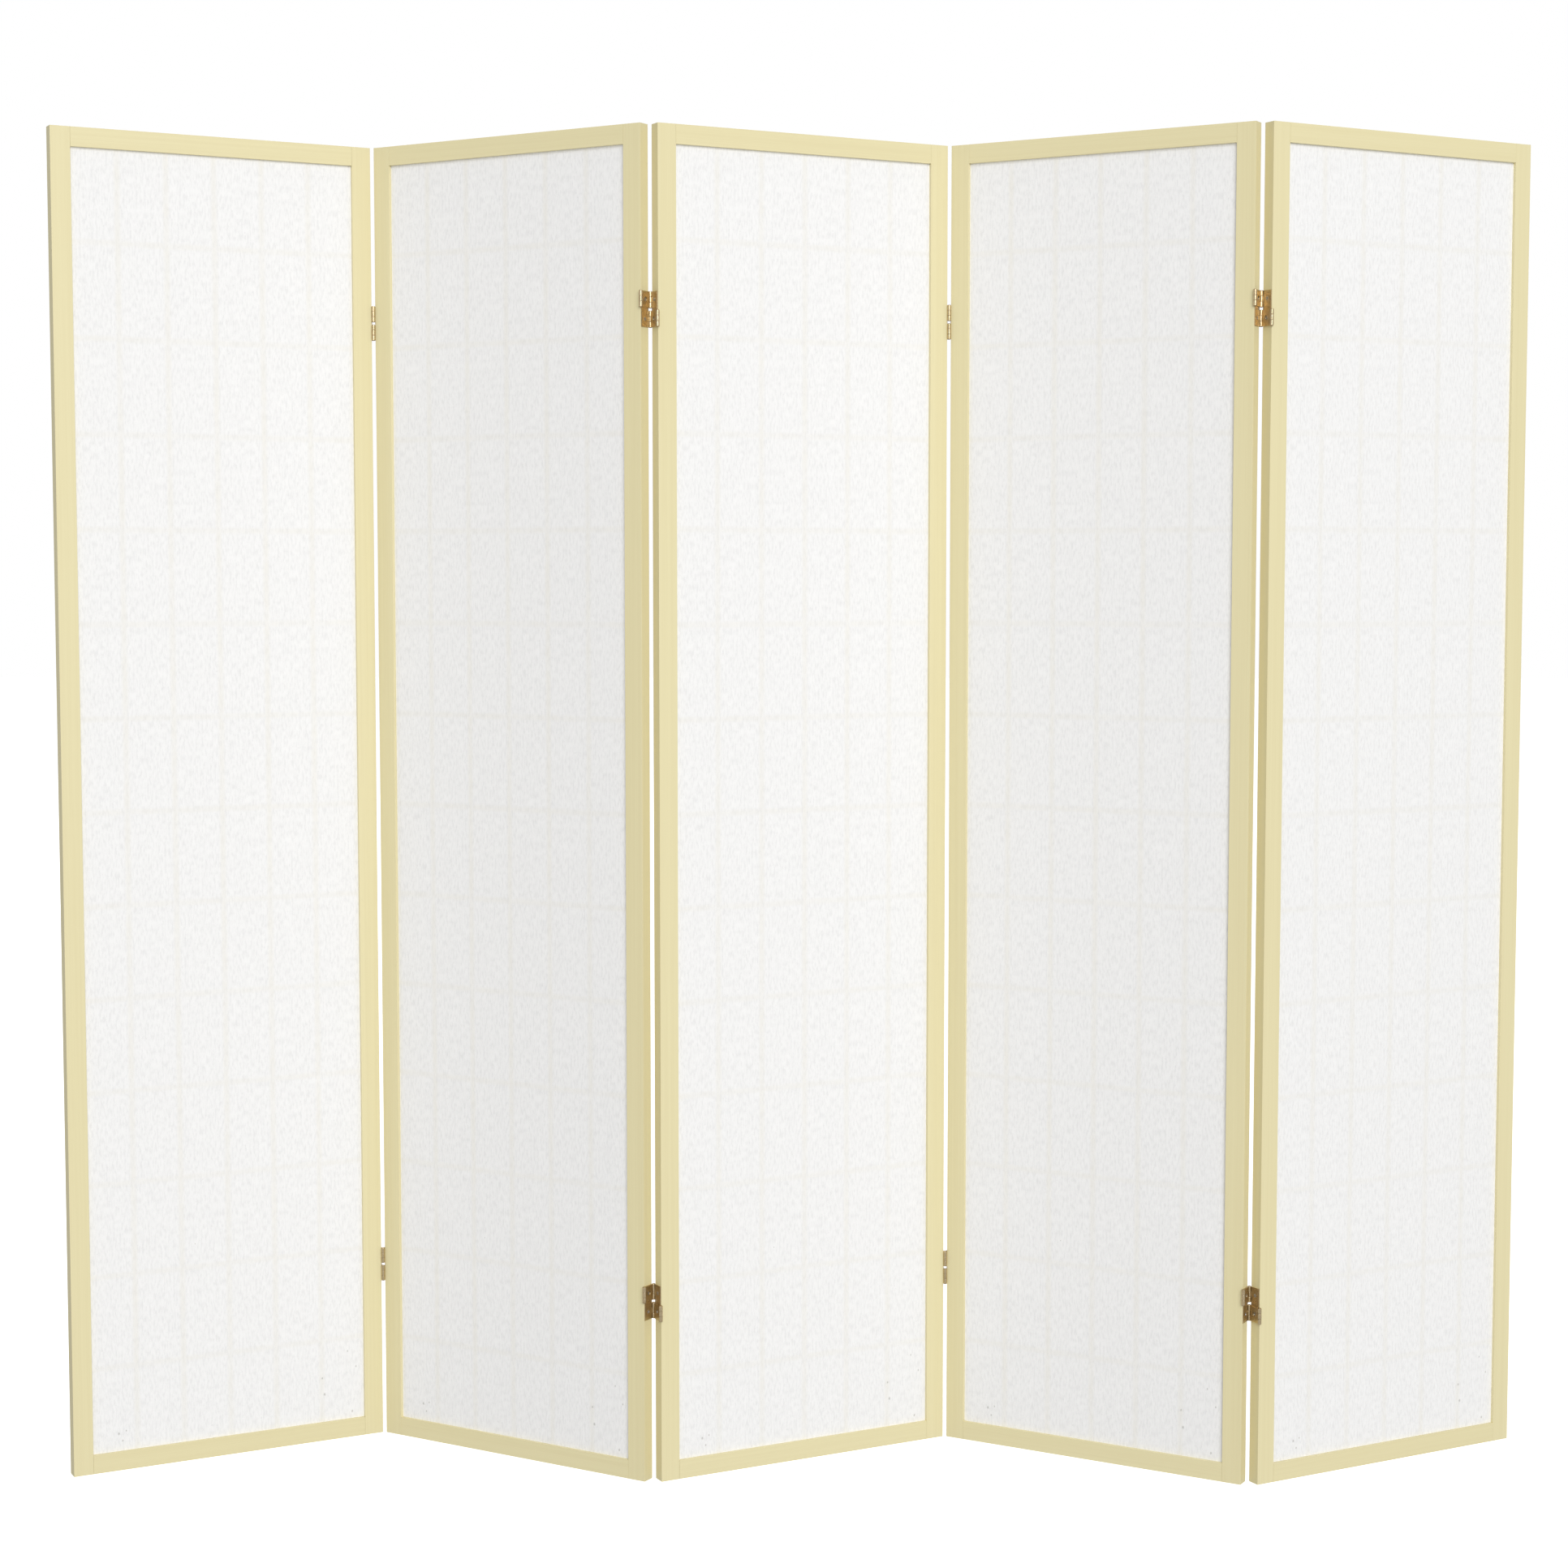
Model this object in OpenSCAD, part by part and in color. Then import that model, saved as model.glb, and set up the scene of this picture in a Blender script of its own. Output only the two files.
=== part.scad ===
// Folding shoji screen of five panels, standing open in a zigzag.
//
// Each panel is a grooved wooden frame that holds a half-lapped lattice with
// paper on its front. Neighbouring panels are joined by two double-acting
// hinges, which fold both ways: a leaf on each panel, and between them an upper
// and a lower link, each pinned to one leaf at the front and to the other at
// the back.
//
// Millimetres, +Z up. The origin is on the floor under the middle of panel 3,
// +X runs along the screen to the right and +Y points to its back. Panels are
// counted from the left as seen from the front.

/* [Panels] */
// Height of a panel
panel_h = 1778; // [900:1:2400]
// Width of a panel
panel_w = 433.4; // [250:0.1:700]
// Thickness of the frame, front to back
panel_t = 18.3; // [15:0.1:30]
// Seen width of a stile
stile_w = 26.1; // [20:0.1:60]
// Seen height of a rail
rail_h = 25.4; // [20:0.1:60]
// Bevel along the outer edges of the frame
arris = 0.3; // [0.2:0.1:2]

/* [Folds] */
// Angle away from flat between panels 1 and 2, a fold towards the back
fold_1_2 = 58.4; // [0:0.1:178]
// Angle away from flat between panels 2 and 3, a fold towards the front
fold_2_3 = 58.4; // [0:0.1:178]
// Angle away from flat between panels 3 and 4, a fold towards the back
fold_3_4 = 57.4; // [0:0.1:178]
// Angle away from flat between panels 4 and 5, a fold towards the front
fold_4_5 = 58; // [0:0.1:178]

/* [Frame joints] */
// Thickness of a tenon
tenon_t = 6; // [4:0.1:8]
// Length of a tenon
tenon_l = 15; // [8:0.1:16]
// Wood between a tenon and the outer edge of its rail
tenon_set = 3; // [2:0.1:5]
// Wood between a tenon and the groove of its rail
tenon_haunch = 1; // [0.5:0.1:2]
// Clearance round a tenon in its mortise
tenon_fit = 0.1; // [0.05:0.05:0.3]
// Space for glue at the end of a tenon
glue_space = 0.5; // [0.2:0.1:1.5]

/* [Lattice and paper] */
// Cells across a panel
cells_across = 6; // [2:1:10]
// Cells up a panel
cells_up = 14; // [3:1:24]
// Seen width of a lattice bar
bar_w = 5.5; // [3:0.1:12]
// Depth of a lattice bar, front to back
bar_d = 8; // [4:0.1:9]
// Clearance at each side of a half lap
lap_fit = 0.05; // [0.05:0.05:0.2]
// Depth that the lattice enters each stile
seat_side = 3.7; // [2:0.1:8]
// Depth that the lattice enters the top rail
seat_top = 3.2; // [2:0.1:10]
// Depth that the lattice enters the bottom rail
seat_bottom = 9.5; // [2:0.1:12]
// Clearance between the lattice's ends and the bottom of its groove
seat_fit = 0.3; // [0.1:0.1:1]
// Clearance behind the lattice in its groove
groove_fit = 0.2; // [0.1:0.1:0.5]
// Depth of the paper behind the face of the frame
paper_set = 4.5; // [2:0.1:5]
// Thickness of the paper
paper_t = 0.4; // [0.2:0.1:1]

/* [Hinges] */
// Distance of an upper hinge's middle from the top of the panel
hinge_inset_top = 236.3; // [60:0.1:400]
// Height of a lower hinge's middle
hinge_inset_bottom = 239.8; // [60:0.1:400]
// Height of a knuckle
knuckle_h = 7; // [5:0.1:12]
// Radius of a knuckle
knuckle_r = 2.6; // [2.2:0.1:3.5]
// Clearance between neighbouring knuckles
knuckle_gap = 0.2; // [0.1:0.05:0.4]
// Height of the gap between the upper and the lower barrels
barrel_gap = 4; // [3:0.1:15]
// Thickness of the leaves and links
sheet_t = 1; // [0.8:0.1:1.4]
// Clearance between a leaf and a link when the panels stand flat
leaf_gap = 0.2; // [0.15:0.05:0.6]
// How far a barrel reaches back behind the face of the frame
barrel_sink = 0.6; // [0:0.1:1]
// Clearance between a barrel and the sheets that pass it
barrel_fit = 0.3; // [0.2:0.05:0.6]
// Radius of a pin
pin_r = 1.5; // [1.1:0.05:1.6]
// Clearance round a pin
pin_fit = 0.05; // [0.02:0.01:0.1]
// Radius of the domed head at each end of a pin
pin_head_r = 2.3; // [2:0.1:2.4]
// Height of the domed head
pin_head_h = 0.6; // [0.3:0.1:0.9]

/* [Hinge screws] */
// Distance of a screw from the hinge's middle, up or down
screw_offset = 12.5; // [8:0.1:16]
// Radius of the countersunk head
screw_head_r = 2.7; // [2.2:0.1:3]
// Radius of the shank
screw_r = 1.5; // [1:0.1:1.8]
// Length of the screw below the leaf
screw_l = 14; // [8:0.1:16]
// Length of its point
screw_point = 3; // [1:0.1:4]
// Clearance round the screw in the leaf and in the wood
screw_fit = 0.05; // [0.05:0.01:0.2]
// Length of each stroke of the cross recess
recess_l = 3; // [2:0.1:4]
// Width of a stroke
recess_w = 0.7; // [0.4:0.1:1]
// Depth of the recess
recess_d = 0.7; // [0.3:0.1:0.9]
// Radius of the hole in a link that gives access to the screws
access_r = 3.3; // [3.1:0.1:4]

/* [Hidden] */
$fn = 48;
eps = 1; // how far a cutting shape runs past a face
folds = [fold_1_2, fold_2_3, fold_3_4, fold_4_5];
panels = len(folds) + 1;
middle_panel = 3;

wood = [0.92, 0.88, 0.70];
bare_wood = [0.90, 0.85, 0.72];
paper_white = [0.96, 0.96, 0.95];
brass = [0.72, 0.53, 0.28];
steel = [0.66, 0.66, 0.68];

// Groove and lattice
groove_d = paper_t + bar_d + groove_fit;
lattice_left = stile_w - seat_side;
lattice_right = panel_w - lattice_left;
lattice_bottom = rail_h - seat_bottom;
lattice_top = panel_h - rail_h + seat_top;
pitch_across = (lattice_right - lattice_left) / cells_across;
pitch_up = (lattice_top - lattice_bottom) / cells_up;
bar_front = paper_set + paper_t;

// Hinge section, with x out from the edge of the panel
hinge_h = 6 * knuckle_h + barrel_gap;
barrel_h = 3 * knuckle_h;
axis_out = 1.5 * sheet_t + leaf_gap;
axis_proud = knuckle_r - barrel_sink;
front_axis = -axis_proud;
back_axis = panel_t + axis_proud;
bore_r = pin_r + pin_fit;
leaf_set_back = sqrt(pow(knuckle_r + barrel_fit, 2) - pow(axis_out - sheet_t, 2)) - axis_proud;
link_set_back = knuckle_r + barrel_fit - axis_proud;
hinge_heights = [hinge_inset_bottom, panel_h - hinge_inset_top];

PANEL_PIECES = [
    "left_stile", "right_stile", "top_rail", "bottom_rail",
    "lattice_uprights", "lattice_crossbars", "paper",
    "hinge_links", "hinge_pins", "hinge_screws"
];
function has_left_hinge(i) = i > 1;
function has_right_hinge(i) = i < panels;

// ---- Plan of the screen: joint j lies between panels j and j + 1 ----

// A ridge folds towards the front and turns on the back axis.
function is_ridge(j) = j % 2 == 0;
function joint_axis(j) = is_ridge(j) ? back_axis : front_axis;
function turn(j) = is_ridge(j) ? folds[j - 1] : -folds[j - 1];

// Angle of panel i from +X: a fold is shared evenly by panels 2 and 3
first_heading = folds[1] / 2 - turn(1) - turn(2);
function heading(i) = i == 1 ? first_heading : heading(i - 1) + turn(i - 1);

function turned(p, a) = [p.x * cos(a) - p.y * sin(a), p.x * sin(a) + p.y * cos(a)];

// Front left corner of panel i, counted from that of panel 1
function step(i) = i == 1 ? [0, 0] : step(i - 1)
    + turned([panel_w + axis_out, joint_axis(i - 1)], heading(i - 1))
    - turned([-axis_out, joint_axis(i - 1)], heading(i));
function corner(i) = step(i) - step(middle_panel)
    - turned([panel_w / 2, panel_t / 2], heading(middle_panel));

module in_panel(i) {
    translate(corner(i)) rotate(heading(i)) children();
}

// Puts a shape made at the left side of a panel at its right side
module at_right() {
    translate([panel_w, 0, 0]) mirror([1, 0, 0]) children();
}

// Hinge parts have x out from the panel's edge, and z from the hinge's middle.
module at_left_edge() {
    for (z = hinge_heights) translate([0, 0, z]) mirror([1, 0, 0]) children();
}

module at_right_edge() {
    for (z = hinge_heights) translate([panel_w, 0, z]) children();
}

// ---- Frame ----

function tenon_h(seat) = rail_h - seat - seat_fit - tenon_haunch - tenon_set;

// A tenon of a rail with its outer edge at z = 0, from x = 0 to the left.
// The clearance makes it the mortise.
module tenon(seat, fit = 0, end = 0) {
    translate([-tenon_l - end, (panel_t - tenon_t) / 2 - fit, tenon_set - fit])
        cube([tenon_l + end, tenon_t + 2 * fit, tenon_h(seat) + 2 * fit]);
}

module upside_down() {
    translate([0, 0, panel_h]) mirror([0, 0, 1]) children();
}

module stile(hinged) {
    bevelled = [
        [arris, 0], [stile_w, 0], [stile_w, panel_t],
        [arris, panel_t], [0, panel_t - arris], [0, arris]
    ];
    color(wood) difference() {
        linear_extrude(panel_h) polygon(bevelled);
        translate([lattice_left - seat_fit, paper_set, lattice_bottom - seat_fit])
            cube([stile_w, groove_d, lattice_top - lattice_bottom + 2 * seat_fit]);
        mortise(seat_bottom);
        upside_down() mortise(seat_top);
        if (hinged) for (z = hinge_heights) pilot_holes(z);
    }
}

module mortise(seat) {
    translate([stile_w, 0, 0]) {
        tenon(seat, tenon_fit, glue_space);
        translate([0, (panel_t - tenon_t) / 2 - tenon_fit, tenon_set - tenon_fit])
            cube([eps, tenon_t + 2 * tenon_fit, tenon_h(seat) + 2 * tenon_fit]);
    }
}

module pilot_holes(z) {
    for (side = [-1, 1])
        translate([-eps, panel_t / 2, z + side * screw_offset])
            rotate([0, 90, 0]) cylinder(r = screw_r + screw_fit, h = eps + screw_l + glue_space);
}

// A rail lying with its outer edge at z = 0
module rail(seat) {
    bevelled = [
        [arris, 0], [panel_t - arris, 0], [panel_t, arris],
        [panel_t, rail_h], [0, rail_h], [0, arris]
    ];
    rail_l = panel_w - 2 * stile_w;
    color(wood) {
        difference() {
            translate([stile_w, 0, 0]) rotate([90, 0, 90]) linear_extrude(rail_l) polygon(bevelled);
            translate([stile_w - eps, paper_set, rail_h - seat - seat_fit])
                cube([rail_l + 2 * eps, groove_d, rail_h]);
        }
        translate([stile_w, 0, 0]) tenon(seat);
        at_right() translate([stile_w, 0, 0]) tenon(seat);
    }
}

module top_rail() {
    upside_down() rail(seat_top);
}

module bottom_rail() {
    rail(seat_bottom);
}

// ---- Lattice and paper ----

// Uprights keep their front half at a crossing, and crossbars their back half.
module lattice_uprights() {
    notch_h = bar_w + 2 * lap_fit;
    color(bare_wood) for (i = [1 : cells_across - 1])
        translate([lattice_left + i * pitch_across - bar_w / 2, bar_front, lattice_bottom])
            difference() {
                cube([bar_w, bar_d, lattice_top - lattice_bottom]);
                for (k = [1 : cells_up - 1])
                    translate([-eps, bar_d / 2, k * pitch_up - notch_h / 2])
                        cube([bar_w + 2 * eps, bar_d, notch_h]);
            }
}

module lattice_crossbars() {
    notch_w = bar_w + 2 * lap_fit;
    color(bare_wood) for (k = [1 : cells_up - 1])
        translate([lattice_left, bar_front, lattice_bottom + k * pitch_up - bar_w / 2])
            difference() {
                cube([lattice_right - lattice_left, bar_d, bar_w]);
                for (i = [1 : cells_across - 1])
                    translate([i * pitch_across - notch_w / 2, -bar_d / 2, -eps])
                        cube([notch_w, bar_d, bar_w + 2 * eps]);
            }
}

module paper() {
    color(paper_white) translate([lattice_left, paper_set, lattice_bottom])
        cube([lattice_right - lattice_left, paper_t, lattice_top - lattice_bottom]);
}

// ---- Hinges ----

// Knuckles of one barrel, counted from 0 at the bottom
module knuckles(y, upper, counts) {
    base = upper ? barrel_gap / 2 : -hinge_h / 2;
    for (k = counts)
        translate([axis_out, y, base + k * knuckle_h + knuckle_gap / 2])
            cylinder(r = knuckle_r, h = knuckle_h - knuckle_gap);
}

module barrel_bore(y) {
    translate([axis_out, y, -hinge_h / 2 - eps]) cylinder(r = bore_r, h = hinge_h + 2 * eps);
}

// A leaf's outer two knuckles and the tongues that join them to the plate
module leaf_knuckles(y, upper) {
    base = upper ? barrel_gap / 2 : -hinge_h / 2;
    near = y < 0 ? y : panel_t - leaf_set_back - eps;
    far = y < 0 ? leaf_set_back + eps : y;
    knuckles(y, upper, [0, 2]);
    for (k = [0, 2])
        translate([0, near, base + k * knuckle_h + knuckle_gap / 2])
            cube([sheet_t, far - near, knuckle_h - knuckle_gap]);
}

// A leaf: the upper barrel is at the front of the panel or at its back,
// and the lower one is at the other side.
module leaf(upper_in_front) {
    upper_axis = upper_in_front ? front_axis : back_axis;
    lower_axis = upper_in_front ? back_axis : front_axis;
    color(brass) difference() {
        union() {
            translate([0, leaf_set_back, -hinge_h / 2])
                cube([sheet_t, panel_t - 2 * leaf_set_back, hinge_h]);
            leaf_knuckles(upper_axis, true);
            leaf_knuckles(lower_axis, false);
        }
        barrel_bore(front_axis);
        barrel_bore(back_axis);
        for (side = [-1, 1])
            translate([0, panel_t / 2, side * screw_offset]) rotate([0, 90, 0]) screw_hole();
    }
}

module screw_hole() {
    cylinder(r1 = screw_r + screw_fit, r2 = screw_head_r + screw_fit, h = sheet_t);
    translate([0, 0, -eps]) cylinder(r = screw_r + screw_fit, h = 2 * eps);
    translate([0, 0, sheet_t]) cylinder(r = screw_head_r + screw_fit, h = eps);
}

// A link: a plate between two barrels, with the middle knuckle of each
module link(upper) {
    base = upper ? barrel_gap / 2 : -hinge_h / 2;
    color(brass) difference() {
        union() {
            translate([axis_out - sheet_t / 2, link_set_back, base])
                cube([sheet_t, panel_t - 2 * link_set_back, barrel_h]);
            knuckles(front_axis, upper, [1]);
            knuckles(back_axis, upper, [1]);
            translate([axis_out - sheet_t / 2, front_axis, base + knuckle_h + knuckle_gap / 2])
                cube([sheet_t, back_axis - front_axis, knuckle_h - knuckle_gap]);
        }
        barrel_bore(front_axis);
        barrel_bore(back_axis);
        translate([0, panel_t / 2, base + barrel_h / 2])
            rotate([0, 90, 0]) cylinder(r = access_r, h = 2 * axis_out);
    }
}

// A pin stays in the outer knuckles of a leaf, and a link turns on it.
module pin(y, upper) {
    base = upper ? barrel_gap / 2 : -hinge_h / 2;
    low = base + knuckle_gap / 2;
    high = base + barrel_h - knuckle_gap / 2;
    translate([axis_out, y, 0]) {
        translate([0, 0, low]) cylinder(r = pin_r, h = high - low);
        translate([0, 0, high]) pin_head();
        translate([0, 0, low]) mirror([0, 0, 1]) pin_head();
    }
}

// A cap of a sphere
module pin_head() {
    dome_r = (pow(pin_head_r, 2) + pow(pin_head_h, 2)) / (2 * pin_head_h);
    rotate_extrude() intersection() {
        translate([0, pin_head_h - dome_r]) circle(r = dome_r);
        square([pin_head_r, pin_head_h]);
    }
}

// The two pins of a leaf
module leaf_pins(upper_in_front) {
    color(steel) {
        pin(upper_in_front ? front_axis : back_axis, true);
        pin(upper_in_front ? back_axis : front_axis, false);
    }
}

// The two screws of a leaf
module leaf_screws() {
    color(steel) for (side = [-1, 1])
        translate([0, panel_t / 2, side * screw_offset]) rotate([0, 90, 0]) screw();
}

module screw() {
    difference() {
        union() {
            cylinder(r1 = screw_r, r2 = screw_head_r, h = sheet_t);
            translate([0, 0, screw_point - screw_l]) cylinder(r = screw_r, h = screw_l - screw_point);
            translate([0, 0, -screw_l]) cylinder(r1 = screw_r / 10, r2 = screw_r, h = screw_point);
        }
        for (a = [0, 90])
            rotate(a) translate([-recess_l / 2, -recess_w / 2, sheet_t - recess_d])
                cube([recess_l, recess_w, recess_d + eps]);
    }
}

// On a right edge the upper barrel of the leaf is in front, on a left edge
// the lower one. The link that rides with a panel is the upper one on an even
// panel and the lower one on an odd panel.
module left_leaves() {
    at_left_edge() leaf(false);
}

module right_leaves() {
    at_right_edge() leaf(true);
}

module hinge_links(i) {
    upper = i % 2 == 0;
    if (has_left_hinge(i)) at_left_edge() link(upper);
    if (has_right_hinge(i)) at_right_edge() link(upper);
}

module hinge_pins(i) {
    if (has_left_hinge(i)) at_left_edge() leaf_pins(false);
    if (has_right_hinge(i)) at_right_edge() leaf_pins(true);
}

module hinge_screws(i) {
    if (has_left_hinge(i)) at_left_edge() leaf_screws();
    if (has_right_hinge(i)) at_right_edge() leaf_screws();
}

module left_stile(i) {
    stile(has_left_hinge(i));
}

module right_stile(i) {
    at_right() stile(has_right_hinge(i));
}

for (i = [1 : panels]) in_panel(i) {
    left_stile(i);
    right_stile(i);
    top_rail();
    bottom_rail();
    lattice_uprights();
    lattice_crossbars();
    paper();
    left_leaves();
    right_leaves();
    hinge_links(i);
    hinge_pins(i);
    hinge_screws(i);
}
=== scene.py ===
"""Looks, light and camera of a folding shoji screen of five panels.

Every length is in metres, with +X along the screen, +Y to its back and +Z up.
A panel's own coordinates are u from its left edge, v from its face towards its
back, and z from the floor. Panels are counted from the left as seen from the
front.
"""

import logging
import math
from dataclasses import dataclass
from enum import Enum

import bmesh
import bpy
import numpy as np
from mathutils import Euler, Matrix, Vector


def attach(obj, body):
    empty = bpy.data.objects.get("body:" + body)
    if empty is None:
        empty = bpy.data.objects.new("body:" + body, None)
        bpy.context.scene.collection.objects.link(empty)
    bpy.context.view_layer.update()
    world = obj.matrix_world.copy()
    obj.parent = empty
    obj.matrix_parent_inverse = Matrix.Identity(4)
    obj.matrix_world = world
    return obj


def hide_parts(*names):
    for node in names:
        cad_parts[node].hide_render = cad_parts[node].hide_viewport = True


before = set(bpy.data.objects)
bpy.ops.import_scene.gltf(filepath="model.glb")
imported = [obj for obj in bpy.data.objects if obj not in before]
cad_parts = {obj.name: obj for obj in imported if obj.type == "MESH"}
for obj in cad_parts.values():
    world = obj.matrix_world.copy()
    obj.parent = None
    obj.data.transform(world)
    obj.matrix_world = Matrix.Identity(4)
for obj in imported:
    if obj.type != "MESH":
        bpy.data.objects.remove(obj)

log = logging.getLogger("shoji_screen")
Array = np.ndarray
Colour = tuple[float, float, float]

PANELS = 5
PLACE = "own_place"  # attribute with a point's place in its own piece
SHARP_ANGLE = math.radians(40)
MERGE_DISTANCE = 2e-6
BORDER_STEPS = 12  # segments along each side of a pierced plate
AIM_HEIGHT = 0.9  # height of the point that the lamps are aimed at


class Slot(Enum):
    """The record's material slots."""

    FRAME = "frame"
    LATTICE = "lattice"
    PAPER = "paper"
    HINGE = "hinge"
    PIN = "pin"
    SCREW = "screw"


class Side(Enum):
    """The two upright edges of a panel."""

    LEFT = "left"
    RIGHT = "right"


# ---- Shapes ----


@dataclass
class Shell:
    """Points and faces of one or more closed surfaces.

    own holds each point's place in its piece as (across, through, along), which
    the finishes read.
    """

    points: Array
    faces: list[list[int]]
    own: Array

    @classmethod
    def lofted(cls, rings: Array, own: Array) -> "Shell":
        """Skins a row of rings with quads and closes both ends with one face.

        Args:
            rings: Points as (stations, around, 3).
            own: The same shape, each point's place in its piece.

        Returns:
            A closed shell.
        """
        stations, around = rings.shape[:2]
        start = np.arange(stations - 1)[:, None] * around
        here = start + np.arange(around)
        beside = start + (np.arange(around) + 1) % around
        quads = np.stack([here, beside, beside + around, here + around], -1)
        last = (stations - 1) * around
        ends = [list(range(around))[::-1], list(range(last, last + around))]
        return cls(rings.reshape(-1, 3), quads.reshape(-1, 4).tolist() + ends, own.reshape(-1, 3))

    @classmethod
    def joined(cls, shells: list["Shell"]) -> "Shell":
        """Puts several shells into one, each keeping its own faces."""
        starts = np.cumsum([0] + [len(s.points) for s in shells[:-1]])
        faces = [[i + int(at) for i in face] for at, s in zip(starts, shells) for face in s.faces]
        return cls(
            np.concatenate([s.points for s in shells]),
            faces,
            np.concatenate([s.own for s in shells]),
        )


def unit(vectors: Array) -> Array:
    """Vectors divided by their lengths."""
    return vectors / np.linalg.norm(vectors, axis=-1, keepdims=True)


def outline(corners: Array, radii: Array, inset: float = 0.0, steps: int = 3) -> Array:
    """A closed outline with rounded corners, counter-clockwise.

    A corner c between unit directions a (coming in) and b (going out) first
    moves inwards along both edges' normals by the inset. Its arc is then
    c - r a + r b + r (a sin t - b cos t), with t from 0 to a quarter turn.

    Args:
        corners: The sharp corners as (corners, 2).
        radii: Radius at each corner.
        inset: How far the whole outline is drawn in.
        steps: Segments in each arc.

    Returns:
        Points as (corners * (steps + 1), 2).
    """
    a = unit(corners - np.roll(corners, 1, 0))
    b = unit(np.roll(corners, -1, 0) - corners)
    inward = np.stack([-a[:, 1] - b[:, 1], a[:, 0] + b[:, 0]], -1)
    drawn_in = corners + inset * inward
    t = np.linspace(0, math.pi / 2, steps + 1)[None, :, None]
    r = np.asarray(radii)[:, None, None]
    a, b = a[:, None], b[:, None]
    arcs = drawn_in[:, None] - r * a + r * b + r * (a * np.sin(t) - b * np.cos(t))
    return arcs.reshape(-1, 2)


def eased_ends(length: float, ease: float, steps: int = 3) -> tuple[Array, Array]:
    """Stations that round both ends of a straight piece.

    At angle t of a quarter turn a station stands ease (1 - sin t) from the
    end and is drawn in by ease (1 - cos t).

    Args:
        length: Length of the piece.
        ease: Radius of the rounding.
        steps: Segments in each rounding.

    Returns:
        Places along the piece and the inset at each.
    """
    t = np.linspace(math.pi / 2, 0, steps + 1)
    away, inset = ease * (1 - np.sin(t)), ease * (1 - np.cos(t))
    return np.concatenate([away, length - away[::-1]]), np.concatenate([inset, inset[::-1]])


def notched_bar(width: float, depth: float, length: float, ease: float, notches: Array) -> Array:
    """Rings of a bar with half of its depth cut away at each notch.

    The section is x across and y through, with y from 0 to depth, and the cuts
    take the half with y over depth / 2: there a ring's points are brought down
    to y = depth / 2.

    Args:
        width: Seen width of the bar.
        depth: Its depth.
        length: Its length.
        ease: Radius of its four long edges.
        notches: Start and end of each cut along the bar, as (cuts, 2).

    Returns:
        Rings as (stations, around, 3), the third number being along the bar.
    """
    half, mid = width / 2, depth / 2
    corners = np.array([[-half, 0], [half, 0], [half, mid], [half, depth], [-half, depth], [-half, mid]])
    radii = np.array([ease, ease, 0, ease, ease, 0])
    whole = outline(corners[[0, 1, 3, 4]], radii[[0, 1, 3, 4]])
    middle = len(whole) // 2
    whole = np.concatenate([whole[:middle], corners[2:3], whole[middle:], corners[5:6]])
    cut_ring = np.stack([whole[:, 0], np.minimum(whole[:, 1], mid)], -1)
    along = np.concatenate([[0], np.repeat(notches, 2, axis=1).reshape(-1), [length]])
    cut = np.concatenate([[0], np.tile([0, 1, 1, 0], len(notches)), [0]])[:, None, None]
    rings = np.where(cut > 0, cut_ring[None], whole[None])
    return np.concatenate([rings, np.broadcast_to(along[:, None, None], (*rings.shape[:2], 1))], -1)


# ---- Finishes ----


class Graph:
    """Adds and links the nodes of one material."""

    def __init__(self, name: str) -> None:
        """Starts an empty material of that name."""
        self.material = bpy.data.materials.new(name)
        self.material.use_nodes = True
        self.tree = self.material.node_tree
        self.tree.nodes.clear()

    def add(self, kind: str, inputs: dict | None = None, **settings: object) -> bpy.types.Node:
        """Adds a node.

        Args:
            kind: The node's type without its ShaderNode prefix.
            inputs: Value or source socket for each input, by name or number.
            **settings: The node's own properties.

        Returns:
            The node.
        """
        node = self.tree.nodes.new(f"ShaderNode{kind}")
        for name, value in settings.items():
            setattr(node, name, value)
        for name, value in (inputs or {}).items():
            if isinstance(value, bpy.types.NodeSocket):
                self.tree.links.new(value, node.inputs[name])
            else:
                node.inputs[name].default_value = value
        return node

    def math(self, operation: str, *values: object) -> bpy.types.NodeSocket:
        """The result of a Math node on values or sockets."""
        return self.add("Math", dict(enumerate(values)), operation=operation).outputs[0]

    def place(self, scale: Colour = (1, 1, 1)) -> bpy.types.NodeSocket:
        """The point's place in its own piece, stretched by scale."""
        own = self.add("Attribute", attribute_name=PLACE, attribute_type="GEOMETRY").outputs["Vector"]
        return self.add("VectorMath", {0: own, 1: scale}, operation="MULTIPLY").outputs[0]

    def noise(self, scale: Colour, detail: float = 2.0, roughness: float = 0.5) -> bpy.types.NodeSocket:
        """Noise with that many features a metre across, through and along."""
        settings = {"Vector": self.place(scale), "Scale": 1.0, "Detail": detail, "Roughness": roughness}
        return self.add("TexNoise", settings).outputs["Fac"]

    def ranged(self, value: bpy.types.NodeSocket, old: tuple, new: tuple) -> bpy.types.NodeSocket:
        """A value carried smoothly from the old range to the new one."""
        settings = dict(zip(("Value", "From Min", "From Max", "To Min", "To Max"), (value, *old, *new)))
        return self.add("MapRange", settings, interpolation_type="SMOOTHSTEP").outputs[0]

    def mixed(self, share: object, first: object, second: object) -> bpy.types.NodeSocket:
        """A colour between two, each a socket or a linear colour."""
        colours = [c if isinstance(c, bpy.types.NodeSocket) else (*c, 1) for c in (first, second)]
        node = self.add("Mix", {0: share, 6: colours[0], 7: colours[1]}, data_type="RGBA")
        return node.outputs[2]

    def finish(self, surface: bpy.types.NodeSocket) -> bpy.types.Material:
        """Links the surface to the output and returns the material."""
        self.add("OutputMaterial", {"Surface": surface})
        return self.material


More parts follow.
